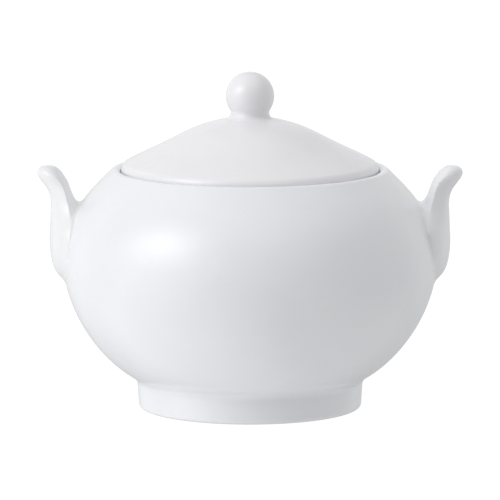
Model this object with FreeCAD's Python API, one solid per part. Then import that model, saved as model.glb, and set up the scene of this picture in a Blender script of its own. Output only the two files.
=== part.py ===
import FreeCAD, Part
import math
import os

# Covered sugar bowl in glazed bone china. Millimetres, +Z up, the two lug handles along X.
# The origin is the centre of the foot, on the table. The lid is closed.
# Every (radius, height) pair is a point of a turned outline.

V = FreeCAD.Vector

# ---- Bowl -------------------------------------------------------------------------------------
BASE_UNDERSIDE = 5.0          # height of the bottom skin above the table, inside the foot
FLOOR_THICKNESS = 4.3
WALL = 3.0
WALL_LOW = 3.6                # the wall thickens towards the base
BELLY_OUTLINE = [
    (0.0, BASE_UNDERSIDE), (20.0, 5.25), (29.3, 6.72), (35.64, 9.09), (44.13, 14.87),
    (51.94, 23.85), (58.26, 36.98), (59.87, 50.49), (56.34, 62.42), (51.07, 69.9),
]
RIM_CREST = (43.25, 77.12)    # the highest line of the rim
RIM_OUTER_ROUND = 1.9
RIM_SHOULDER_ANGLE = 45.0     # where the shoulder runs into the rounded rim
RIM_INNER_ROUND = 1.9         # soft lip that runs down to the ledge
LEDGE_HEIGHT = 75.4           # the lid's edge rests here
LEDGE_THICKNESS = 3.2
MOUTH_RADIUS = 37.4
LEDGE_ROUND = 0.8

# ---- Foot ring --------------------------------------------------------------------------------
FOOT_INNER_RADIUS = 31.4
FOOT_RADIUS_BOTTOM = 35.8
FOOT_RADIUS_TOP = 36.3
FOOT_BOTTOM_ROUND = 1.3
FOOT_INNER_ROUND = 0.9
FOOT_OUTER_BLEND = 3.8
FOOT_BLEND_LIP = 0.02        # the slip of the outer rounding ends this far proud of the belly
FOOT_INNER_BLEND = 1.6

# ---- Lid --------------------------------------------------------------------------------------
SEAT_GAP = 0.1                # thickness of air between the lid's edge and the ledge
LID_SEAT = LEDGE_HEIGHT + SEAT_GAP
LID_EDGE_ROUND = 2.6          # above the widest line
LID_EDGE_UNDER_ROUND = 1.5    # below it
LID_EDGE_RADIUS = 41.25
LID_THICKNESS = 3.0
LID_OUTLINE = [
    (0.0, 94.3), (6.6, 93.45), (10.0, 92.72), (14.0, 91.64), (19.0, 89.75), (24.0, 87.27),
    (29.0, 84.7), (34.0, 82.29),
]
LID_EDGE_ANGLE = 60.7         # where the dome runs into the rounded edge, measured from level
RING_OUTER_RADIUS = 36.6
RING_INNER_RADIUS = 33.9
RING_DEPTH = 7.5
RING_ROUND = 1.1
RING_BLEND = 0.7
KNOB_RADIUS = 7.75
KNOB_CENTRE = 100.6
KNOB_BLEND = 2.05             # hollow neck between the ball and the lid

# ---- Lug handles ------------------------------------------------------------------------------
# Level cuts through one handle from its lowest point to its tip: (height, inner face, edge,
# outer face, half width, outer fullness, inner fullness), faces measured from the axis.
# A fullness of 1 is half an ellipse, 1.5 an almond and 2 a bell that runs out on to the belly.
HANDLE_CUTS = [
    (39.6, 50.0, 57.6, 57.9, 1.5, 1.5, 1.4),
    (41.3, 50.0, 58.8, 59.9, 4.2, 1.5, 1.4),
    (43.7, 50.0, 59.1, 62.0, 8.2, 1.5, 1.4),
    (47.3, 50.2, 58.9, 63.5, 12.0, 1.5, 1.4),
    (51.0, 50.3, 58.4, 64.1, 14.4, 1.5, 1.4),
    (54.5, 50.4, 57.8, 64.27, 15.3, 1.5, 1.4),
    (58.0, 50.6, 57.2, 64.12, 15.1, 1.5, 1.4),
    (61.0, 51.5, 57.0, 64.0, 12.9, 1.5, 1.5),
    (64.0, 53.2, 57.4, 63.87, 10.2, 1.5, 1.7),
    (67.0, 55.9, 58.05, 63.86, 8.6, 1.45, 1.8),
    (70.0, 57.35, 58.75, 64.62, 7.7, 1.4, 1.8),
    (73.0, 58.45, 60.1, 66.65, 6.9, 1.3, 1.65),
    (75.3, 59.8, 62.2, 68.05, 6.0, 1.15, 1.45),
    (76.9, 61.2, 63.8, 67.9, 4.6, 1.05, 1.2),
    (77.75, 62.35, 64.3, 66.95, 3.3, 1.0, 1.1),
    (78.15, 63.3, 64.5, 65.7, 2.0, 1.0, 1.0),
]
HANDLE_BLEND = 1.6            # hollow where the handle meets the belly


def at(point):
    return V(point[0], 0, point[1])


def along(angle):
    """Unit direction in the outline plane, angle in degrees above level."""
    return V(math.cos(math.radians(angle)), 0, math.sin(math.radians(angle)))


def line(a, b):
    return Part.LineSegment(a, b)


def arc(centre, radius, first, last):
    """Round from the first angle to the last, degrees above level."""
    points = [centre + along(angle) * radius for angle in (first, (first + last) / 2.0, last)]
    return Part.Arc(*points)


def smooth(points, first_direction, last_direction):
    lengths = [0.0]
    for a, b in zip(points, points[1:]):
        lengths.append(lengths[-1] + (b - a).Length)
    curve = Part.BSplineCurve()
    curve.interpolate(
        Points=points,
        Parameters=lengths,
        InitialTangent=V(first_direction).normalize(),
        FinalTangent=V(last_direction).normalize(),
        Scale=False,
    )
    return curve


def inside(curve, point, wall):
    """The point one wall thickness inside an outline that runs outwards and upwards."""
    tangent = curve.tangent(curve.parameter(point))[0]
    return point - V(tangent.z, 0, -tangent.x) * wall


def turned(segments):
    wire = Part.Wire([segment.toShape() for segment in segments])
    face = Part.Face(wire)
    return solid_of(face.revolve(V(0, 0, 0), V(0, 0, 1), 360))


def solid_of(shape):
    """The largest solid of a shape, facing outwards."""
    solid = max(shape.Solids, key=lambda one: abs(one.Volume))
    if solid.Volume < 0:
        solid.reverse()
    return solid


def blend(corner, one_way, other_way, radius):
    """Hollow rounding of a corner between two straight directions: start, arc, end."""
    one_way = V(one_way).normalize()
    other_way = V(other_way).normalize()
    half = one_way.getAngle(other_way) / 2.0
    reach = radius / math.tan(half)
    middle = (one_way + other_way).normalize()
    centre = corner + middle * (radius / math.sin(half))
    start = corner + one_way * reach
    end = corner + other_way * reach
    return start, Part.Arc(start, centre - middle * radius, end), end


def point_at_radius(curve, radius):
    """The first point of an outline, from its start, that lies at a given distance from the axis."""
    low = curve.FirstParameter
    high = low
    while curve.value(high).x < radius:
        high += 0.5
    for _ in range(50):
        middle = (low + high) / 2.0
        if curve.value(middle).x < radius:
            low = middle
        else:
            high = middle
    return curve.value(high)


def belly_curve():
    rim_centre = at(RIM_CREST) - V(0, 0, RIM_OUTER_ROUND)
    shoulder_end = rim_centre + along(90 - RIM_SHOULDER_ANGLE) * RIM_OUTER_ROUND
    points = [at(point) for point in BELLY_OUTLINE] + [shoulder_end]
    return smooth(points, V(1, 0, 0), along(180 - RIM_SHOULDER_ANGLE))


def bowl_body():
    outside = belly_curve()
    crest = at(RIM_CREST)
    rim_outer = arc(crest - V(0, 0, RIM_OUTER_ROUND), RIM_OUTER_ROUND, 90 - RIM_SHOULDER_ANGLE, 90)
    ledge = LEDGE_HEIGHT
    inner_centre = crest - V(0, 0, RIM_INNER_ROUND)
    ledge_turn = 180 + math.degrees(math.asin((inner_centre.z - ledge) / RIM_INNER_ROUND))
    rim_inner = arc(inner_centre, RIM_INNER_ROUND, 90, ledge_turn)
    ledge_outer = inner_centre + along(ledge_turn) * RIM_INNER_ROUND

    underside = LEDGE_HEIGHT - LEDGE_THICKNESS
    mouth_top = V(MOUTH_RADIUS + LEDGE_ROUND, 0, ledge)
    mouth_upper = arc(mouth_top - V(0, 0, LEDGE_ROUND), LEDGE_ROUND, 90, 180)
    mouth_bottom = V(MOUTH_RADIUS + LEDGE_ROUND, 0, underside)
    mouth_lower = arc(mouth_bottom + V(0, 0, LEDGE_ROUND), LEDGE_ROUND, 180, 270)

    shoulder_start = V(42.6, 0, underside)
    inner_points = [shoulder_start]
    for point in reversed(BELLY_OUTLINE[4:]):
        wall = WALL_LOW if point[1] < 20 else WALL
        inner_points.append(inside(outside, at(point), wall))
    inner_points.append(inside(outside, at(BELLY_OUTLINE[3]), WALL_LOW + 0.3))
    floor = BASE_UNDERSIDE + FLOOR_THICKNESS
    inner_points.append(V(24.0, 0, floor + 0.25))
    inner_points.append(V(0, 0, floor))
    inner = smooth(inner_points, V(1, 0, -0.1), V(-1, 0, 0))

    segments = [
        outside,
        rim_outer,
        rim_inner,
        line(ledge_outer, mouth_top),
        mouth_upper,
        line(V(MOUTH_RADIUS, 0, ledge - LEDGE_ROUND), V(MOUTH_RADIUS, 0, underside + LEDGE_ROUND)),
        mouth_lower,
        line(mouth_bottom, shoulder_start),
        inner,
        line(V(0, 0, floor), V(0, 0, BASE_UNDERSIDE)),
    ]
    return turned(segments)


def filled_bowl():
    """The bowl's outer form without its hollow, for trimming what is stuck on to it."""
    outside = belly_curve()
    top = outside.value(outside.LastParameter)
    segments = [outside, line(top, V(0, 0, top.z)), line(V(0, 0, top.z), V(0, 0, BASE_UNDERSIDE))]
    return turned(segments)


def foot_blend(belly, wall_low, wall_high):
    """Hollow rounding that touches the foot's wall and the curved belly: start, arc, end, way on."""
    wall_way = (wall_high - wall_low).normalize()
    outward = V(wall_way.z, 0, -wall_way.x)
    near = belly.parameter(wall_high)
    far = belly.parameter(point_at_radius(belly, wall_high.x + 2 * FOOT_OUTER_BLEND))
    for _ in range(50):
        middle = (near + far) / 2.0
        belly_way = belly.tangent(middle)[0]
        off_belly = V(belly_way.z, 0, -belly_way.x)
        end = belly.value(middle) + off_belly * FOOT_BLEND_LIP
        centre = end + off_belly * FOOT_OUTER_BLEND
        if (centre - wall_low).dot(outward) < FOOT_OUTER_BLEND:
            near = middle
        else:
            far = middle
    start = wall_low + wall_way * (centre - wall_low).dot(wall_way)
    to_middle = (start + end - centre * 2).normalize()
    return start, Part.Arc(start, centre + to_middle * FOOT_OUTER_BLEND, end), end, belly_way


def foot_ring(bowl):
    belly = belly_curve()
    wall_low = V(FOOT_RADIUS_BOTTOM, 0, FOOT_BOTTOM_ROUND)
    wall_high = point_at_radius(belly, FOOT_RADIUS_TOP)
    start, outer_blend, end, belly_way = foot_blend(belly, wall_low, wall_high)

    under = point_at_radius(belly, FOOT_INNER_RADIUS)
    under_way = V(0, 0, 0) - belly.tangent(belly.parameter(under))[0]
    inner_start, inner_blend, inner_end = blend(under, V(0, 0, -1), under_way, FOOT_INNER_BLEND)

    outer_flat = FOOT_RADIUS_BOTTOM - FOOT_BOTTOM_ROUND
    inner_flat = FOOT_INNER_RADIUS + FOOT_INNER_ROUND
    outer_round = arc(V(outer_flat, 0, FOOT_BOTTOM_ROUND), FOOT_BOTTOM_ROUND, -90, 0)
    inner_round = arc(V(inner_flat, 0, FOOT_INNER_ROUND), FOOT_INNER_ROUND, 180, 270)
    within_outer = end + belly_way * 0.3 + V(-0.6, 0, 1.2)
    within_inner = inner_end + under_way * 0.3 + V(0, 0, 1.2)
    segments = [
        line(V(inner_flat, 0, 0), V(outer_flat, 0, 0)),
        outer_round,
        line(wall_low, start),
        outer_blend,
        line(end, within_outer),
        line(within_outer, within_inner),
        line(within_inner, inner_end),
        inner_blend,
        line(inner_start, V(FOOT_INNER_RADIUS, 0, FOOT_INNER_ROUND)),
        inner_round,
    ]
    return solid_of(turned(segments).cut(bowl))


def lid_cover():
    edge_height = LID_SEAT + LID_EDGE_UNDER_ROUND
    edge_centre = V(LID_EDGE_RADIUS - LID_EDGE_ROUND, 0, edge_height)
    under_centre = V(LID_EDGE_RADIUS - LID_EDGE_UNDER_ROUND, 0, edge_height)
    edge_start = edge_centre + along(LID_EDGE_ANGLE) * LID_EDGE_ROUND
    points = [at(point) for point in LID_OUTLINE] + [edge_start]
    dome = smooth(points, V(1, 0, 0), along(LID_EDGE_ANGLE - 90))

    inner_points = [V(RING_INNER_RADIUS, 0, LID_SEAT)]
    for point in reversed(LID_OUTLINE[3:]):
        tangent = dome.tangent(dome.parameter(at(point)))[0]
        inner_points.append(at(point) - V(-tangent.z, 0, tangent.x) * LID_THICKNESS)
    inner_points.append(V(0, 0, LID_OUTLINE[0][1] - LID_THICKNESS - 0.3))
    inner = smooth(inner_points, V(0, 0, 1), V(-1, 0, 0))

    segments = [
        dome,
        arc(edge_centre, LID_EDGE_ROUND, LID_EDGE_ANGLE, 0),
        arc(under_centre, LID_EDGE_UNDER_ROUND, 0, -90),
        line(V(under_centre.x, 0, LID_SEAT), V(RING_INNER_RADIUS, 0, LID_SEAT)),
        inner,
        line(inner_points[-1], at(LID_OUTLINE[0])),
    ]
    return turned(segments), dome


def lid_locating_ring():
    bottom = LID_SEAT - RING_DEPTH
    outer_round = V(RING_OUTER_RADIUS - RING_ROUND, 0, bottom + RING_ROUND)
    inner_round = V(RING_INNER_RADIUS + RING_ROUND, 0, bottom + RING_ROUND)
    start, top_blend, end = blend(V(RING_OUTER_RADIUS, 0, LID_SEAT), V(1, 0, 0), V(0, 0, -1), RING_BLEND)
    segments = [
        line(V(RING_INNER_RADIUS, 0, LID_SEAT), start),
        top_blend,
        line(end, V(RING_OUTER_RADIUS, 0, bottom + RING_ROUND)),
        arc(outer_round, RING_ROUND, 0, -90),
        line(V(outer_round.x, 0, bottom), V(inner_round.x, 0, bottom)),
        arc(inner_round, RING_ROUND, -90, -180),
        line(V(RING_INNER_RADIUS, 0, bottom + RING_ROUND), V(RING_INNER_RADIUS, 0, LID_SEAT)),
    ]
    return turned(segments)


def lid_knob(cover, dome):
    """A ball standing on the dome, with a small hollow rounding all round its foot."""
    ball = V(0, 0, KNOB_CENTRE)
    blend_radius = KNOB_RADIUS - 0.2
    for _ in range(8):
        below = point_at_radius(dome, blend_radius)
        height = below.z + KNOB_BLEND * 1.04
        blend_radius = math.sqrt((KNOB_RADIUS + KNOB_BLEND) ** 2 - (KNOB_CENTRE - height) ** 2)
    centre = V(blend_radius, 0, height)
    towards = (centre - ball).normalize()
    touch = ball + towards * KNOB_RADIUS
    top = V(0, 0, KNOB_CENTRE + KNOB_RADIUS)
    low = V(blend_radius - 0.2, 0, height - KNOB_BLEND * 1.05)
    inward = (ball - centre).normalize()
    down = (low - centre).normalize()
    middle = (inward + down).normalize()
    foot = centre + down * KNOB_BLEND
    root = V(blend_radius - 0.6, 0, dome.value(dome.FirstParameter).z - 2.2)
    segments = [
        Part.Arc(top, V(KNOB_RADIUS, 0, KNOB_CENTRE), touch),
        Part.Arc(touch, centre + middle * KNOB_BLEND, foot),
        line(foot, root),
        line(root, V(0, 0, root.z)),
        line(V(0, 0, root.z), top),
    ]
    return solid_of(turned(segments).cut(cover))


def handle_cut(height, inner, edge, outer, half_width, outer_fullness, inner_fullness):
    """One level cut through a handle: almond-shaped, fuller on its outer side."""
    count = 20
    points = []
    for index in range(count):
        turn = 2.0 * math.pi * index / count
        outward = math.cos(turn)
        if outward > 0:
            depth = (outer - edge) * outward ** outer_fullness
        else:
            depth = (inner - edge) * abs(outward) ** inner_fullness
        points.append(V(edge + depth, half_width * math.sin(turn), height))
    curve = Part.BSplineCurve()
    curve.interpolate(Points=points, PeriodicFlag=True)
    return Part.Wire([curve.toShape()])


def handle(filled):
    cuts = [handle_cut(*cut) for cut in HANDLE_CUTS]
    blank = solid_of(Part.makeLoft(cuts, True, False))
    joined = filled.fuse(blank)
    seam = []
    for edge in joined.Edges:
        box = edge.BoundBox
        middle = edge.valueAt((edge.FirstParameter + edge.LastParameter) / 2.0)
        on_belly = box.XMin > 40 and box.ZMin > 35 and box.ZMax < 75
        if on_belly and filled.distToShape(Part.Vertex(middle))[0] < 0.01:
            seam.append(edge)
    return solid_of(joined.makeFillet(HANDLE_BLEND, seam).cut(filled))


def main():
    os.makedirs("parts", exist_ok=True)
    body = bowl_body()
    filled = filled_bowl()
    cover, dome = lid_cover()
    right = handle(filled)
    parts = {
        "bowl_body": body,
        "foot_ring": foot_ring(body),
        "handle_right": right,
        "handle_left": right.mirror(V(0, 0, 0), V(1, 0, 0)),
        "lid_cover": cover,
        "lid_locating_ring": lid_locating_ring(),
        "lid_knob": lid_knob(cover, dome),
    }
    for name, shape in parts.items():
        shape.exportStep("parts/" + name + ".step")
        box = shape.BoundBox
        sizes = [round(v, 2) for v in (box.XMin, box.XMax, box.YMin, box.YMax, box.ZMin, box.ZMax)]
        print(name, shape.isValid(), len(shape.Solids), round(shape.Volume / 1000, 2), sizes)


main()
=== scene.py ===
"""Covered sugar bowl in glazed white china: the visible pieces, their glaze, the studio and the camera."""
import math

import bpy
import numpy as np
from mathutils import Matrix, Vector
from mathutils.bvhtree import BVHTree


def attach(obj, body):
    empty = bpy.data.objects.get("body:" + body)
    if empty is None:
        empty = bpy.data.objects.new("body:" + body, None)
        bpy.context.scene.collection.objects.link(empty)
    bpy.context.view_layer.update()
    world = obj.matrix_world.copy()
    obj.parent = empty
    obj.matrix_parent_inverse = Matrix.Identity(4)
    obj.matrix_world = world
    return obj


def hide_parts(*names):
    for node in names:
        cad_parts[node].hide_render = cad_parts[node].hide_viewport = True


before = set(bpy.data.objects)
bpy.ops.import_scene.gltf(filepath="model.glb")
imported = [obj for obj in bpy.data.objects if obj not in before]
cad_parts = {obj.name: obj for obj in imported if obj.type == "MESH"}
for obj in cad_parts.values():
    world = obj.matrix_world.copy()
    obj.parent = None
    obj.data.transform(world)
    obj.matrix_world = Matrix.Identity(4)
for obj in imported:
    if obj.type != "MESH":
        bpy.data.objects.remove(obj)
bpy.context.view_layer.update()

MM = 0.001
SEGMENTS = 256

# ---- camera --------------------------------------------------------------------------------------
ELEVATION = math.radians(8.46)
DISTANCE = 2.0
TARGET = Vector((0.0, 0.0, 0.05075))
back = Vector((0.0, -math.cos(ELEVATION), math.sin(ELEVATION)))
camera_data = bpy.data.cameras.new("studio_camera")
camera_data.lens = 448.7
camera_data.sensor_width = 36.0
camera = bpy.data.objects.new("studio_camera", camera_data)
camera.location = TARGET + back * DISTANCE
camera.rotation_mode = "QUATERNION"
camera.rotation_quaternion = (-back).to_track_quat("-Z", "Y")
bpy.context.scene.collection.objects.link(camera)
bpy.context.scene.camera = camera


# ---- outlines: lists of (radius, height) in millimetres with the direction of travel -------------
# Every outline is walked with the clay on its left, so the outward side is always on its right.
def unit(v):
    v = np.asarray(v, float)
    return v / np.linalg.norm(v)


def heading(degrees):
    return np.array([math.cos(math.radians(degrees)), math.sin(math.radians(degrees))])


def straight(a, b, step=1.0):
    a, b = np.asarray(a, float), np.asarray(b, float)
    count = max(2, int(np.linalg.norm(b - a) / step) + 2)
    t = np.linspace(0, 1, count)[:, None]
    return a + (b - a) * t, np.repeat(unit(b - a)[None], count, 0)


def arc(centre, radius, first, last, step=9.0):
    """Round from the first angle to the last, in degrees above level."""
    count = max(3, int(abs(last - first) / step) + 2)
    a = np.radians(np.linspace(first, last, count))
    around = np.stack([np.cos(a), np.sin(a)], 1)
    turn = 1.0 if last > first else -1.0
    return np.asarray(centre, float) + radius * around, turn * np.stack([-around[:, 1], around[:, 0]], 1)


class Curve:
    """Smooth curve through points, with its two end directions given."""

    def __init__(self, points, first, last):
        p = np.asarray(points, float)
        gaps = np.linalg.norm(np.diff(p, axis=0), axis=1)
        self.knots = np.concatenate([[0.0], np.cumsum(gaps)])
        self.points = p
        n = len(p)
        system = np.zeros((n, n))
        right = np.zeros_like(p)
        system[0, 0] = system[-1, -1] = 1.0
        right[0], right[-1] = unit(first), unit(last)
        for i in range(1, n - 1):
            before, after = gaps[i - 1], gaps[i]
            system[i, i - 1] = after
            system[i, i] = 2.0 * (before + after)
            system[i, i + 1] = before
            right[i] = 3.0 * (after * (p[i] - p[i - 1]) / before + before * (p[i + 1] - p[i]) / after)
        self.slopes = np.linalg.solve(system, right)
        self.length = self.knots[-1]

    def __call__(self, u):
        u = np.atleast_1d(np.asarray(u, float))
        i = np.clip(np.searchsorted(self.knots, u) - 1, 0, len(self.knots) - 2)
        h = (self.knots[i + 1] - self.knots[i])[:, None]
        t = (u[:, None] - self.knots[i][:, None]) / h
        a, b = self.points[i], self.points[i + 1]
        m, n = self.slopes[i] * h, self.slopes[i + 1] * h
        place = (2 * t**3 - 3 * t**2 + 1) * a + (t**3 - 2 * t**2 + t) * m
        place = place + (3 * t**2 - 2 * t**3) * b + (t**3 - t**2) * n
        way = (6 * t**2 - 6 * t) * a + (3 * t**2 - 4 * t + 1) * m
        way = way + (6 * t - 6 * t**2) * b + (3 * t**2 - 2 * t) * n
        return place, way / np.linalg.norm(way, axis=1)[:, None]

    def walk(self, start=0.0, end=None, step=1.0):
        end = self.length if end is None else end
        return self(np.linspace(start, end, max(3, int(abs(end - start) / step) + 2)))

    def at_radius(self, radius):
        """Where along the curve, from its start, a distance from the axis is first reached."""
        u = np.linspace(0, self.length, 4000)
        r = self(u)[0][:, 0]
        i = int(np.argmax(r >= radius))
        return u[i - 1] + (u[i] - u[i - 1]) * (radius - r[i - 1]) / (r[i] - r[i - 1])


def reverse(run):
    return run[0][::-1], -run[1][::-1]


def right_of(way):
    return np.array([way[1], -way[0]])


def hollow(corner, way_back, way_on, radius, step=9.0):
    """Hollow rounding of a corner: from a point back along one line to a point on along the next."""
    corner, way_back, way_on = np.asarray(corner, float), unit(way_back), unit(way_on)
    half = math.acos(float(np.clip(way_back @ way_on, -1, 1))) / 2.0
    centre = corner + unit(way_back + way_on) * radius / math.sin(half)
    start = corner + way_back * radius / math.tan(half)
    end = corner + way_on * radius / math.tan(half)
    first = math.degrees(math.atan2(*(start - centre)[::-1]))
    last = math.degrees(math.atan2(*(end - centre)[::-1]))
    if last - first > 180:
        last -= 360
    if first - last > 180:
        last += 360
    return arc(centre, radius, first, last, step), start, end


# ---- the bowl's outline --------------------------------------------------------------------------
BELLY = [
    (0.0, 5.0), (20.0, 5.25), (29.3, 6.72), (35.64, 9.09), (44.13, 14.87),
    (51.94, 23.85), (58.26, 36.98), (59.87, 50.49), (56.34, 62.42), (51.07, 69.9),
]
RIM = np.array([43.25, 77.12])      # crest of the rim
RIM_ROUND = 1.9                     # the rim's rounding on the outside
RIM_INSIDE = 1.9                    # and on the inside, down to the ledge
LEDGE = 75.4                        # top of the ledge that the lid sits on
LEDGE_UNDER = 72.2
LEDGE_ROUND = 0.8
LEDGE_TURN = 180 - math.degrees(math.asin((LEDGE - RIM[1] + RIM_INSIDE) / RIM_INSIDE))
MOUTH = 37.4                        # radius of the opening through the ledge
SHOULDER = 42.6                     # radius where the ledge's underside meets the wall
INNER_FLOOR = 9.3
WALL, WALL_LOW, WALL_FLOOR = 3.0, 3.6, 3.9
belly = Curve(
    BELLY + [tuple(RIM - (0, RIM_ROUND) + RIM_ROUND * heading(45))],
    (1, 0), heading(135),
)


def inside_points(curve, points, wall):
    """Points one wall thickness inside an outline."""
    found = []
    for point, thickness in zip(points, wall):
        u = np.linspace(0, curve.length, 6000)
        near = u[np.argmin(np.linalg.norm(curve(u)[0] - np.asarray(point), axis=1))]
        place, way = curve(near)
        found.append(tuple(place[0] - right_of(way[0]) * thickness))
    return found


inner_wall = Curve(
    [(SHOULDER, LEDGE_UNDER)]
    + inside_points(belly, BELLY[:3:-1], [WALL] * 5 + [WALL_LOW])
    + inside_points(belly, [BELLY[3]], [WALL_FLOOR])
    + [(24.0, INNER_FLOOR + 0.25), (0.0, INNER_FLOOR)],
    (1, -0.1), (-1, 0),
)
ledge_corner = MOUTH + LEDGE_ROUND
bowl_outline = [
    belly.walk(),
    arc(RIM - (0, RIM_ROUND), RIM_ROUND, 45, 90, 6),
    arc(RIM - (0, RIM_INSIDE), RIM_INSIDE, 90, LEDGE_TURN, 6),
    straight(RIM - (0, RIM_INSIDE) + RIM_INSIDE * heading(LEDGE_TURN), (ledge_corner, LEDGE)),
    arc((ledge_corner, LEDGE - LEDGE_ROUND), LEDGE_ROUND, 90, 180, 12),
    straight((MOUTH, LEDGE - LEDGE_ROUND), (MOUTH, LEDGE_UNDER + LEDGE_ROUND)),
    arc((ledge_corner, LEDGE_UNDER + LEDGE_ROUND), LEDGE_ROUND, 180, 270, 12),
    straight((ledge_corner, LEDGE_UNDER), (SHOULDER, LEDGE_UNDER)),
    inner_wall.walk(),
]

# ---- the foot ring -------------------------------------------------------------------------------
FOOT_TOP, FOOT_BOTTOM, FOOT_INSIDE = 36.3, 35.8, 31.4      # radii of its wall, outside and inside
FOOT_ROUND, FOOT_INNER_ROUND = 1.3, 0.9                    # roundings of its standing edge
FOOT_BLEND, FOOT_INNER_BLEND = 3.8, 1.6                    # hollow roundings where it meets the bowl


def foot_blend(low):
    """Hollow rounding between the foot's wall and the curved belly: the run, its start and its end."""
    near, far = belly.at_radius(FOOT_TOP), belly.at_radius(45.0)
    wall_way = unit(belly(near)[0][0] - low)
    for _ in range(50):
        middle = 0.5 * (near + far)
        place, way = belly(middle)
        centre = place[0] + FOOT_BLEND * right_of(way[0])
        if (centre - low) @ right_of(wall_way) < FOOT_BLEND:
            near = middle
        else:
            far = middle
    start = low + wall_way * ((centre - low) @ wall_way)
    first = math.degrees(math.atan2(*(start - centre)[::-1])) % 360
    last = math.degrees(math.atan2(*(place[0] - centre)[::-1])) % 360
    return arc(centre, FOOT_BLEND, first, last, 6.0), start, place[0]


outer_blend, outer_low, outer_high = foot_blend(np.array([FOOT_BOTTOM, FOOT_ROUND]))
inner_place, inner_way = belly(belly.at_radius(FOOT_INSIDE))
inner_blend, inner_high, inner_low = hollow(inner_place[0], -inner_way[0], (0, -1), FOOT_INNER_BLEND)
flat_outside = FOOT_BOTTOM - FOOT_ROUND
flat_inside = FOOT_INSIDE + FOOT_INNER_ROUND
sunk_outside = outer_high + (-0.5, 1.3)      # the foot's top runs on a little inside the bowl's wall
sunk_inside = inner_high + (0.6, 1.3)
foot_outline = [
    straight((flat_inside, 0.0), (flat_outside, 0.0)),
    arc((flat_outside, FOOT_ROUND), FOOT_ROUND, -90, 0),
    straight((FOOT_BOTTOM, FOOT_ROUND), outer_low),
    outer_blend,
    straight(outer_high, sunk_outside),
    straight(sunk_outside, sunk_inside),
    straight(sunk_inside, inner_high),
    inner_blend,
    straight(inner_low, (FOOT_INSIDE, FOOT_INNER_ROUND)),
    arc((flat_inside, FOOT_INNER_ROUND), FOOT_INNER_ROUND, 180, 270),
]

# ---- the lid -------------------------------------------------------------------------------------
LID = [
    (0.0, 94.3), (6.6, 93.45), (10.0, 92.72), (14.0, 91.64), (19.0, 89.75), (24.0, 87.27),
    (29.0, 84.7), (34.0, 82.29),
]
LID_WALL = 3.0
LID_RADIUS = 41.25
SEAT = LEDGE + 0.1                  # underside of the lid, just clear of the ledge
EDGE_ROUND = 2.6                    # the lid's edge, above its widest line
EDGE_UNDER = 1.5                    # and below it
EDGE_LEAN = 60.7
EDGE = np.array([LID_RADIUS - EDGE_ROUND, SEAT + EDGE_UNDER])
UNDER = np.array([LID_RADIUS - EDGE_UNDER, SEAT + EDGE_UNDER])
RING_OUTSIDE, RING_INSIDE = 36.6, 33.9
RING_LOW = SEAT - 7.5
RING_ROUND = 1.1                    # rounding of the ring's lower edge
RING_BLEND = 0.7                    # hollow rounding where the ring meets the lid
RING_SINK = 0.4                     # the ring's top runs on this far into the lid
dome = Curve(LID + [tuple(EDGE + EDGE_ROUND * heading(EDGE_LEAN))], (1, 0), heading(EDGE_LEAN - 90))


def lid_inside():
    """The hollow under the dome, one wall thickness below it."""
    points = [(RING_INSIDE, SEAT)]
    for point in LID[:2:-1]:
        u = np.linspace(0, dome.length, 6000)
        near = u[np.argmin(np.linalg.norm(dome(u)[0] - np.asarray(point), axis=1))]
        way = dome(near)[1][0]
        points.append(tuple(np.asarray(point) + right_of(way) * LID_WALL))
    return Curve(points + [(0.0, LID[0][1] - LID_WALL - 0.3)], (0, 1), (-1, 0))


lid_outline = [
    reverse(lid_inside().walk()),
    straight((RING_INSIDE, SEAT), UNDER - (0, EDGE_UNDER)),
    arc(UNDER, EDGE_UNDER, -90, 0, 6),
    arc(EDGE, EDGE_ROUND, 0, EDGE_LEAN, 6),
    reverse(dome.walk()),
]
ring_blend, ring_low, ring_high = hollow((RING_OUTSIDE, SEAT), (0, -1), (1, 0), RING_BLEND, 15)
ring_flat = RING_INSIDE + RING_ROUND, RING_OUTSIDE - RING_ROUND
ring_top = SEAT + RING_SINK
ring_outline = [
    straight((ring_flat[0], RING_LOW), (ring_flat[1], RING_LOW)),
    arc((ring_flat[1], RING_LOW + RING_ROUND), RING_ROUND, -90, 0),
    straight((RING_OUTSIDE, RING_LOW + RING_ROUND), ring_low),
    ring_blend,
    straight(ring_high, (RING_OUTSIDE + 0.3, ring_top)),
    straight((RING_OUTSIDE + 0.3, ring_top), (RING_INSIDE + 0.7, ring_top)),
    straight((RING_INSIDE + 0.7, ring_top), (RING_INSIDE, SEAT)),
    straight((RING_INSIDE, SEAT), (RING_INSIDE, RING_LOW + RING_ROUND)),
    arc((ring_flat[0], RING_LOW + RING_ROUND), RING_ROUND, 180, 270),
]

# ---- the knob: a ball with a small hollow where it stands on the dome ----------------------------
BALL = np.array([0.0, 100.6])
BALL_RADIUS = 7.75
NECK = 2.05


def knob_neck():
    """Hollow rounding that touches the ball and the dome: its centre and where it meets the dome."""
    radius = 7.8
    for _ in range(12):
        place, way = dome(dome.at_radius(radius))
        centre = place[0] - right_of(way[0]) * NECK
        centre = BALL + unit(centre - BALL) * (BALL_RADIUS + NECK)
        radius = radius + 0.5 * (centre[0] - right_of(-way[0])[0] * NECK - radius)
    return centre, dome(dome.at_radius(radius))[0][0]


neck, neck_foot = knob_neck()
to_ball = math.degrees(math.atan2(*(BALL - neck)[::-1]))
to_dome = math.degrees(math.atan2(*(neck_foot - neck)[::-1]))
if to_dome > 0:
    to_dome -= 360
if to_ball > 0:
    to_ball -= 360
ball_start = math.degrees(math.atan2(*(neck - BALL)[::-1]))
sunk_neck = neck_foot + (-0.8, -1.0)         # the knob's root runs on a little inside the lid
knob_outline = [
    straight((0.0, LID[0][1] - 2.0), sunk_neck),
    straight(sunk_neck, neck + NECK * heading(to_dome)),
    arc(neck, NECK, to_dome, to_ball, 8),
    arc(BALL, BALL_RADIUS, ball_start, 90, 3),
]


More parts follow.
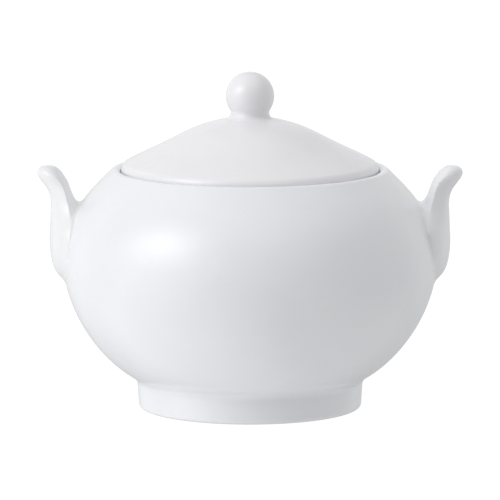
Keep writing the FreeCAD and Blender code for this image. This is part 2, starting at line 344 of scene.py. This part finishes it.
# ---- turned pieces -------------------------------------------------------------------------------
def link(name, vertices, faces, normals=None, per_vertex=False):
    mesh = bpy.data.meshes.new(name)
    mesh.from_pydata((np.asarray(vertices) * MM).tolist(), [], faces)
    mesh.polygons.foreach_set("use_smooth", [True] * len(mesh.polygons))
    mesh.update()
    if normals is not None and per_vertex:
        mesh.normals_split_custom_set_from_vertices(np.asarray(normals).tolist())
    elif normals is not None:
        mesh.normals_split_custom_set(np.asarray(normals).tolist())
    piece = bpy.data.objects.new(name, mesh)
    bpy.context.scene.collection.objects.link(piece)
    return piece


def turned(name, runs):
    """Closed mesh turned from an outline, with crisp shading only where the outline has a corner."""
    rings = [runs[0][0][0]]
    spans = []
    for places, ways in runs:
        for i in range(1, len(places)):
            spans.append((len(rings) - 1, len(rings), right_of(ways[i - 1]), right_of(ways[i])))
            rings.append(places[i])
    closed = np.linalg.norm(rings[0] - rings[-1]) < 1e-6
    if closed:
        rings.pop()
        last = spans.pop()
        spans.append((last[0], 0, last[2], last[3]))
    turn = np.linspace(0, 2 * math.pi, SEGMENTS, endpoint=False)
    cos, sin = np.cos(turn), np.sin(turn)
    vertices, first = [], []
    for r, z in rings:
        first.append(len(vertices))
        if r < 1e-6:
            vertices.append((0.0, 0.0, z))
        else:
            vertices.extend(zip(r * cos, r * sin, np.full(SEGMENTS, z)))
    faces, normals = [], []
    for a, b, na, nb in spans:
        for j in range(SEGMENTS):
            k = (j + 1) % SEGMENTS
            low = (na[0] * cos[j], na[0] * sin[j], na[1]), (na[0] * cos[k], na[0] * sin[k], na[1])
            high = (nb[0] * cos[j], nb[0] * sin[j], nb[1]), (nb[0] * cos[k], nb[0] * sin[k], nb[1])
            if rings[a][0] < 1e-6:
                faces.append((first[a], first[b] + k, first[b] + j))
                normals.extend((low[0], high[1], high[0]))
            elif rings[b][0] < 1e-6:
                faces.append((first[a] + j, first[a] + k, first[b]))
                normals.extend((low[0], low[1], high[0]))
            else:
                faces.append((first[a] + j, first[a] + k, first[b] + k, first[b] + j))
                normals.extend((low[0], low[1], high[1], high[0]))
    return link(name, vertices, faces, normals)


# ---- lug handles ---------------------------------------------------------------------------------
# Level cuts from the lowest point to the tip:
# (height, inner face, edge, outer face, half width, outer fullness, inner fullness); see handle_core.
LUG_CUTS = [
    (39.0, 52.0, 56.4, 57.2, 0.8, 1.5, 1.4),
    (40.2, 52.0, 58.0, 58.6, 2.6, 1.5, 1.4),
    (41.6, 52.0, 58.9, 60.1, 4.6, 1.5, 1.4),
    (43.8, 52.0, 59.1, 62.1, 8.3, 1.5, 1.4),
    (47.3, 52.0, 58.9, 63.5, 12.0, 1.5, 1.4),
    (51.0, 52.0, 58.4, 64.1, 14.4, 1.5, 1.4),
    (54.5, 52.0, 57.8, 64.27, 15.3, 1.5, 1.4),
    (58.0, 52.0, 57.2, 64.12, 15.1, 1.5, 1.4),
    (61.0, 52.3, 57.0, 64.0, 12.9, 1.5, 1.5),
    (64.0, 53.3, 57.4, 63.87, 10.2, 1.5, 1.7),
    (67.0, 55.9, 58.05, 63.86, 8.6, 1.45, 1.8),
    (70.0, 57.35, 58.75, 64.62, 7.7, 1.4, 1.8),
    (73.0, 58.45, 60.1, 66.65, 6.9, 1.3, 1.65),
    (75.2, 59.75, 62.1, 68.02, 6.1, 1.15, 1.45),
    (76.4, 60.65, 63.3, 68.12, 5.2, 1.1, 1.3),
    (77.3, 61.65, 64.0, 67.5, 4.2, 1.0, 1.15),
    (77.8, 62.4, 64.3, 66.8, 3.2, 1.0, 1.1),
    (78.08, 63.3, 64.5, 65.8, 1.7, 1.0, 1.0),
    (78.15, 64.5, 64.55, 64.6, 0.05, 1.0, 1.0),
]
BLEND_LOW, BLEND_NOTCH = 1.1, 2.4    # reach of the rounding along the flanks and under the tip
NOTCH_BELOW, NOTCH_RISE = 58.0, 7.0  # where it starts to widen, and over what height
TUCK_FROM, TUCK_DEPTH = 0.72, 0.55   # its thin edge dips under the belly's skin
SKIRT = 1.6                          # how far past the rounding the edge runs on
KEEP_INSIDE = 1.7                    # how far inside the belly's skin the root ends
LUG_BOX = (52.0, -22.0, 35.0), (70.0, 22.0, 80.0)
LUG_PITCH, LUG_PITCH_QUICK = 0.45, 0.8


def natural(values, u, at):
    """Smooth curve through values, for one or more columns."""
    n = len(u)
    system, right = np.zeros((n, n)), np.zeros_like(values)
    gaps = np.diff(u)
    system[0, 0], system[0, 1] = 2.0, 1.0
    system[-1, -1], system[-1, -2] = 2.0, 1.0
    right[0] = 3 * (values[1] - values[0]) / gaps[0]
    right[-1] = 3 * (values[-1] - values[-2]) / gaps[-1]
    for i in range(1, n - 1):
        system[i, i - 1] = gaps[i]
        system[i, i] = 2 * (gaps[i - 1] + gaps[i])
        system[i, i + 1] = gaps[i - 1]
        right[i] = 3 * (
            gaps[i] * (values[i] - values[i - 1]) / gaps[i - 1]
            + gaps[i - 1] * (values[i + 1] - values[i]) / gaps[i]
        )
    slopes = np.linalg.solve(system, right)
    i = np.clip(np.searchsorted(u, at) - 1, 0, n - 2)
    h = gaps[i][:, None]
    t = ((at - u[i]) / gaps[i])[:, None]
    a, b, m, k = values[i], values[i + 1], slopes[i] * h, slopes[i + 1] * h
    place = (2 * t**3 - 3 * t**2 + 1) * a + (t**3 - 2 * t**2 + t) * m
    return place + (3 * t**2 - 2 * t**3) * b + (t**3 - t**2) * k


def handle_core(rows=150, around=96):
    """The lug by itself: almond-shaped level cuts joined into one smooth closed skin."""
    cuts = np.array(LUG_CUTS)
    gaps = np.sqrt((np.diff(cuts[:, [0, 1, 3, 4]], axis=0) ** 2).sum(axis=1))
    u = np.concatenate([[0.0], np.cumsum(gaps)])
    cut = natural(cuts, u, np.linspace(0, u[-1], rows))
    turn = np.linspace(0, 2 * math.pi, around, endpoint=False)
    cos, sin = np.cos(turn), np.sin(turn)
    vertices = []
    for z, inner, edge, outer, width, full, inner_full in cut:
        outward = np.abs(cos) ** full * (outer - edge)
        inward = np.abs(cos) ** inner_full * (inner - edge)
        reach = np.where(cos > 0, outward, inward)
        vertices.extend(zip(edge + reach, max(width, 0.02) * sin, np.full(around, z)))
    faces = []
    for i in range(rows - 1):
        for j in range(around):
            k = (j + 1) % around
            faces.append((i * around + j, i * around + k, (i + 1) * around + k, (i + 1) * around + j))
    faces.append(tuple(range(around))[::-1])
    faces.append(tuple((rows - 1) * around + j for j in range(around)))
    return vertices, faces


def belly_distance(p):
    """Distance outside the bowl's outer skin, first order."""
    r = np.hypot(p[:, 0], p[:, 1])
    run = belly.walk(step=0.2)
    keep = run[0][:, 1] > 8.0
    z, radius, way = run[0][keep, 1], run[0][keep, 0], run[1][keep]
    order = np.argsort(z)
    skin = np.interp(p[:, 2], z[order], radius[order])
    lean = np.interp(p[:, 2], z[order], way[order, 1])
    return (r - skin) * lean


core_vertices, core_faces = handle_core()
core_tree = BVHTree.FromPolygons([Vector(v) for v in core_vertices], core_faces)


def core_distance(p):
    out = np.empty(len(p))
    find = core_tree.find_nearest
    for i, q in enumerate(p.tolist()):
        place, normal, _, distance = find(q)
        side = (q[0] - place.x) * normal.x + (q[1] - place.y) * normal.y + (q[2] - place.z) * normal.z
        out[i] = distance if side >= 0 else -distance
    return out


def blend_at(p):
    """Reach of the hollow rounding: tight along the flanks, wide in the notch under the tip."""
    t = np.clip((p[:, 2] - NOTCH_BELOW) / NOTCH_RISE, 0, 1)
    return BLEND_LOW + (BLEND_NOTCH - BLEND_LOW) * t * t * (3 - 2 * t)


def joined_skin(p):
    """Lug and belly run together with a hollow rounding between them; zero on the skin."""
    a, b, reach = core_distance(p), belly_distance(p), blend_at(p)
    soft = np.maximum(reach - np.abs(a - b), 0.0)
    return np.minimum(a, b) - soft**2 / (4 * reach), a, b, reach


def lug_field(p):
    """The lug with its hollow rounding, tucked under the glaze of the belly all round its edge."""
    joined, a, b, reach = joined_skin(p)
    t = np.clip((a - TUCK_FROM * reach) / ((1 - TUCK_FROM) * reach + 1.0), 0, 1)
    tucked = joined + TUCK_DEPTH * t * t * (3 - 2 * t)
    return np.maximum(np.maximum(tucked, -(b + KEEP_INSIDE)), a - (reach + SKIRT))


def gradient(field, p, d):
    g = np.empty_like(p)
    for axis in range(3):
        step = np.zeros(3)
        step[axis] = d
        g[:, axis] = (field(p + step) - field(p - step)) / (2 * d)
    return g


def skin_mesh(field, low, high, pitch):
    """A closed quad mesh of field = 0, one vertex for each grid cell that the skin passes through."""
    axes = [np.arange(a, b + pitch, pitch) for a, b in zip(low, high)]
    grid = np.stack(np.meshgrid(*axes, indexing="ij"), -1)
    shape = grid.shape[:3]
    value = field(grid.reshape(-1, 3)).reshape(shape)
    inside = value < 0
    total = np.zeros(tuple(s - 1 for s in shape) + (3,))
    count = np.zeros(tuple(s - 1 for s in shape))
    for axis in range(3):
        a = [slice(None)] * 3
        b = [slice(None)] * 3
        a[axis], b[axis] = slice(0, -1), slice(1, None)
        a, b = tuple(a), tuple(b)
        cross = inside[a] != inside[b]
        share = value[a] / np.where(cross, value[a] - value[b], 1.0)
        place = grid[a] + (grid[b] - grid[a]) * share[..., None]
        others = [k for k in range(3) if k != axis]
        for s in (0, 1):
            for t in (0, 1):
                cut = [slice(None)] * 3
                cut[others[0]] = slice(s, shape[others[0]] - 1 + s)
                cut[others[1]] = slice(t, shape[others[1]] - 1 + t)
                cut = tuple(cut)
                total += np.where(cross[cut][..., None], place[cut], 0.0)
                count += cross[cut]
    used = count > 0
    number = np.full(count.shape, -1)
    number[used] = np.arange(used.sum())
    vertices = total[used] / count[used][:, None]
    faces = []
    for axis in range(3):
        a = [slice(1, -1)] * 3
        b = [slice(1, -1)] * 3
        a[axis], b[axis] = slice(0, -1), slice(1, None)
        first, second = inside[tuple(a)], inside[tuple(b)]
        o1, o2 = [(1, 2), (2, 0), (0, 1)][axis]
        for cell in np.argwhere(first != second):
            low_cell = cell + 1
            low_cell[axis] = cell[axis]
            quad = []
            for s, t in ((0, 0), (1, 0), (1, 1), (0, 1)):
                c = low_cell.copy()
                c[o1] -= 1 - s
                c[o2] -= 1 - t
                quad.append(int(number[tuple(c)]))
            if not first[tuple(cell)]:
                quad.reverse()
            faces.append(tuple(quad))
    return vertices, faces


def relax(vertices, faces, field, rounds, pitch):
    """Evens the mesh out along the skin and puts it back on the skin."""
    quads = np.array(faces)
    pairs = np.concatenate([quads[:, [0, 1]], quads[:, [1, 2]], quads[:, [2, 3]], quads[:, [3, 0]]])
    pairs = np.concatenate([pairs, pairs[:, ::-1]])
    degree = np.bincount(pairs[:, 0], minlength=len(vertices)).astype(float)
    for _ in range(rounds):
        mean = np.stack(
            [np.bincount(pairs[:, 0], vertices[pairs[:, 1], k], len(vertices)) for k in range(3)], 1
        ) / degree[:, None]
        vertices = vertices + 0.6 * (mean - vertices)
        g = gradient(field, vertices, 0.04)
        size = np.maximum((g**2).sum(1), 0.05)
        move = -(field(vertices) / size)[:, None] * g
        longest = np.linalg.norm(move, axis=1)
        move *= np.minimum(1.0, 0.8 * pitch / np.maximum(longest, 1e-9))[:, None]
        vertices = vertices + move
    return vertices


def lug_mesh():
    """Vertices, quads and vertex normals of the lug on the right."""
    pitch = LUG_PITCH
    vertices, faces = skin_mesh(lug_field, *LUG_BOX, pitch)
    vertices = relax(vertices, faces, lug_field, 3, pitch)
    normals = gradient(lambda p: joined_skin(p)[0], vertices, 0.15)
    normals /= np.linalg.norm(normals, axis=1)[:, None]
    return vertices, faces, normals


# ---- glaze ---------------------------------------------------------------------------------------
def glaze(name, tint, seed, bare_below=None):
    """White bone china under a clear glaze: fired unevenly, pooled a little, faintly dimpled."""
    material = bpy.data.materials.new(name)
    material.use_nodes = True
    nodes, links = material.node_tree.nodes, material.node_tree.links
    nodes.clear()
    out = nodes.new("ShaderNodeOutputMaterial")
    shader = nodes.new("ShaderNodeBsdfPrincipled")
    links.new(shader.outputs["BSDF"], out.inputs["Surface"])
    place = nodes.new("ShaderNodeTexCoord")

    def noise(scale, detail, rough, offset):
        shift = nodes.new("ShaderNodeMapping")
        shift.inputs["Location"].default_value = (offset + seed, offset * 0.7 - seed, offset * 1.3)
        links.new(place.outputs["Object"], shift.inputs["Vector"])
        node = nodes.new("ShaderNodeTexNoise")
        node.inputs["Scale"].default_value = scale
        node.inputs["Detail"].default_value = detail
        node.inputs["Roughness"].default_value = rough
        links.new(shift.outputs["Vector"], node.inputs["Vector"])
        return node.outputs["Fac"]

    def ramp(source, low, high, first, last):
        node = nodes.new("ShaderNodeMapRange")
        node.interpolation_type = "SMOOTHSTEP"
        node.inputs["From Min"].default_value = low
        node.inputs["From Max"].default_value = high
        node.inputs["To Min"].default_value = first
        node.inputs["To Max"].default_value = last
        links.new(source, node.inputs["Value"])
        return node.outputs["Result"]

    def mix(factor, first, last):
        node = nodes.new("ShaderNodeMix")
        node.data_type = "RGBA"
        for socket, value in ((node.inputs[6], first), (node.inputs[7], last)):
            if isinstance(value, tuple):
                socket.default_value = (*value, 1.0)
            else:
                links.new(value, socket)
        links.new(factor, node.inputs[0])
        return node.outputs[2]

    cloud = ramp(noise(34.0, 3.0, 0.5, 1.0), 0.35, 0.65, 0.0, 1.0)
    pool = ramp(noise(120.0, 2.0, 0.5, 4.0), 0.4, 0.62, 0.0, 1.0)
    deeper = tuple(c * d for c, d in zip(tint, (0.985, 0.988, 0.994)))
    paler = tuple(min(1.0, c * 1.008) for c in tint)
    colour = mix(cloud, deeper, paler)
    colour = mix(ramp(noise(900.0, 1.0, 0.5, 8.0), 0.70, 0.80, 0.0, 0.10), colour, (0.62, 0.60, 0.57))
    rough = ramp(noise(60.0, 4.0, 0.6, 2.0), 0.3, 0.7, 0.20, 0.27)
    dimple = nodes.new("ShaderNodeBump")
    dimple.inputs["Strength"].default_value = 0.16
    dimple.inputs["Distance"].default_value = 0.00025
    wave = nodes.new("ShaderNodeMath")
    wave.operation = "MULTIPLY_ADD"
    wave.inputs[1].default_value = 0.35
    links.new(noise(260.0, 2.0, 0.45, 3.0), wave.inputs[0])
    links.new(pool, wave.inputs[2])
    links.new(wave.outputs[0], dimple.inputs["Height"])

    if bare_below is not None:
        split = nodes.new("ShaderNodeSeparateXYZ")
        links.new(place.outputs["Object"], split.inputs["Vector"])
        ragged = nodes.new("ShaderNodeMath")
        ragged.operation = "MULTIPLY_ADD"
        ragged.inputs[1].default_value = 0.0004
        links.new(noise(700.0, 3.0, 0.6, 5.0), ragged.inputs[0])
        links.new(split.outputs["Z"], ragged.inputs[2])
        bare = ramp(ragged.outputs[0], bare_below, bare_below + 0.00018, 1.0, 0.0)
        colour = mix(bare, colour, (0.74, 0.71, 0.66))
        both = nodes.new("ShaderNodeMix")
        both.inputs[3].default_value = 0.72
        links.new(bare, both.inputs[0])
        links.new(rough, both.inputs[2])
        rough = both.outputs[0]
    links.new(colour, shader.inputs["Base Color"])
    links.new(rough, shader.inputs["Roughness"])
    links.new(dimple.outputs["Normal"], shader.inputs["Normal"])
    shader.inputs["IOR"].default_value = 1.5
    shader.inputs["Coat Weight"].default_value = 0.3
    shader.inputs["Coat Roughness"].default_value = 0.12
    return material


# The whites differ in tint as painted light colour. The lid's pinker white stands for warm light from
# above, and the bowl's and foot's bluer white for cool light from below. The lugs' white is nearly as warm
# as the lid's.
BOWL_WHITE_COOL_LIT = (0.875, 0.887, 0.911)
LUG_WHITE = (0.888, 0.886, 0.899)
LID_WHITE_WARM_LIT = (0.891, 0.882, 0.905)
bowl_glaze = glaze("bowl_glaze", BOWL_WHITE_COOL_LIT, 0.0)
foot_glaze = glaze("foot_glaze", BOWL_WHITE_COOL_LIT, 0.3, bare_below=0.0005)
lug_glaze = glaze("lug_glaze", LUG_WHITE, 0.6)
lid_glaze = glaze("lid_glaze", LID_WHITE_WARM_LIT, 0.9)

# ---- pieces --------------------------------------------------------------------------------------
pieces = [
    (turned("belly_shell", bowl_outline), bowl_glaze, "bowl", "bowl_body", "bowl_glaze"),
    (turned("turned_foot", foot_outline), foot_glaze, "bowl", "foot_ring", "bowl_glaze"),
    (turned("lid_dome", lid_outline), lid_glaze, "lid", "lid_cover", "lid_glaze"),
    (turned("lid_flange", ring_outline), lid_glaze, "lid", "lid_locating_ring", "lid_glaze"),
    (turned("lid_ball", knob_outline), lid_glaze, "lid", "lid_knob", "lid_glaze"),
]
lug_vertices, lug_faces, lug_normals = lug_mesh()
mirror = np.array([-1.0, 1.0, 1.0])
lug_right = link("lug_right", lug_vertices, lug_faces, lug_normals, True)
lug_left = link(
    "lug_left", lug_vertices * mirror, [f[::-1] for f in lug_faces], lug_normals * mirror, True
)
pieces.append((lug_right, lug_glaze, "bowl", "handle_right", "bowl_glaze"))
pieces.append((lug_left, lug_glaze, "bowl", "handle_left", "bowl_glaze"))
for piece, material, body, node, slot in pieces:
    piece.data.materials.append(material)
    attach(piece, body)
    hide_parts(node)


# ---- studio --------------------------------------------------------------------------------------
def floor():
    """Pale paper that glows mostly by itself, so that it stays even, and doesn't light the bowl."""
    mesh = bpy.data.meshes.new("floor")
    s = 6.0      # half its width in metres
    mesh.from_pydata([(-s, -s, 0), (s, -s, 0), (s, s, 0), (-s, s, 0)], [], [(0, 1, 2, 3)])
    plane = bpy.data.objects.new("floor", mesh)
    bpy.context.scene.collection.objects.link(plane)
    material = bpy.data.materials.new("floor_paper")
    material.use_nodes = True
    shader = material.node_tree.nodes["Principled BSDF"]
    shader.inputs["Base Color"].default_value = (0.12, 0.12, 0.12, 1)
    shader.inputs["Roughness"].default_value = 1.0
    shader.inputs["Specular IOR Level"].default_value = 0.0
    shader.inputs["Emission Color"].default_value = (1, 1, 1, 1)
    shader.inputs["Emission Strength"].default_value = 0.95
    mesh.materials.append(material)
    plane.visible_diffuse = False
    plane.visible_glossy = False
    plane.visible_shadow = False


def direction(azimuth, elevation):
    """From the bowl towards a light. Azimuth 0 is the camera's side, positive to its right."""
    a, e = math.radians(azimuth), math.radians(elevation)
    return Vector((math.cos(e) * math.sin(a), -math.cos(e) * math.cos(a), math.sin(e)))


def softbox(name, azimuth, elevation, distance, size, brightness):
    """A round lamp facing the bowl. Its brightness is that of its surface, whatever its size."""
    data = bpy.data.lights.new(name, "AREA")
    data.shape = "DISK"
    data.size = size
    data.energy = brightness * math.pi * math.pi * (size / 2) ** 2
    lamp = bpy.data.objects.new(name, data)
    way = direction(azimuth, elevation)
    lamp.location = Vector((0, 0, 0.05)) + way * distance
    lamp.rotation_mode = "QUATERNION"
    lamp.rotation_quaternion = way.to_track_quat("Z", "Y")
    bpy.context.scene.collection.objects.link(lamp)


def tent(base, lobes):
    """A pale tent all round: an even base plus soft patches, each (direction, half angle, strength)."""
    world = bpy.data.worlds.new("tent")
    bpy.context.scene.world = world
    world.use_nodes = True
    nodes, links = world.node_tree.nodes, world.node_tree.links
    background = nodes["Background"]
    place = nodes.new("ShaderNodeTexCoord")
    total = None
    for way, half, strength in lobes:
        dot = nodes.new("ShaderNodeVectorMath")
        dot.operation = "DOT_PRODUCT"
        dot.inputs[1].default_value = way
        links.new(place.outputs["Generated"], dot.inputs[0])
        fall = nodes.new("ShaderNodeMapRange")
        fall.interpolation_type = "SMOOTHSTEP"
        fall.inputs["From Min"].default_value = math.cos(math.radians(half))
        fall.inputs["From Max"].default_value = 1.0
        fall.inputs["To Min"].default_value = 0.0
        fall.inputs["To Max"].default_value = strength
        links.new(dot.outputs["Value"], fall.inputs["Value"])
        add = nodes.new("ShaderNodeMath")
        add.operation = "ADD"
        links.new(fall.outputs["Result"], add.inputs[0])
        if total is None:
            add.inputs[1].default_value = base
        else:
            links.new(total, add.inputs[1])
        total = add.outputs[0]
    background.inputs["Color"].default_value = (0.99, 0.995, 1.0, 1)
    links.new(total, background.inputs["Strength"])


floor()
tent(0.35, [
    (direction(-60, 30), 30, 1.6),      # the window side, on the camera's left
    (direction(-60, 12), 48, 0.8),
    (direction(-60, -55), 62, 0.6),     # the same light thrown back by the table
    (direction(-120, -55), 62, 0.27),
    (direction(90, -20), 62, 0.45),
    (direction(150, 12), 48, 0.4),      # pale walls behind, seen where the glaze is grazed
    (direction(-150, 12), 48, 0.42),
    (direction(0, 85), 62, 0.6),
])
softbox("key_softbox", -60, 31, 1.4, 0.5, 1.3)
bpy.context.scene.view_settings.view_transform = "Standard"
bpy.context.scene.view_settings.look = "None"

bpy.context.view_layer.update()
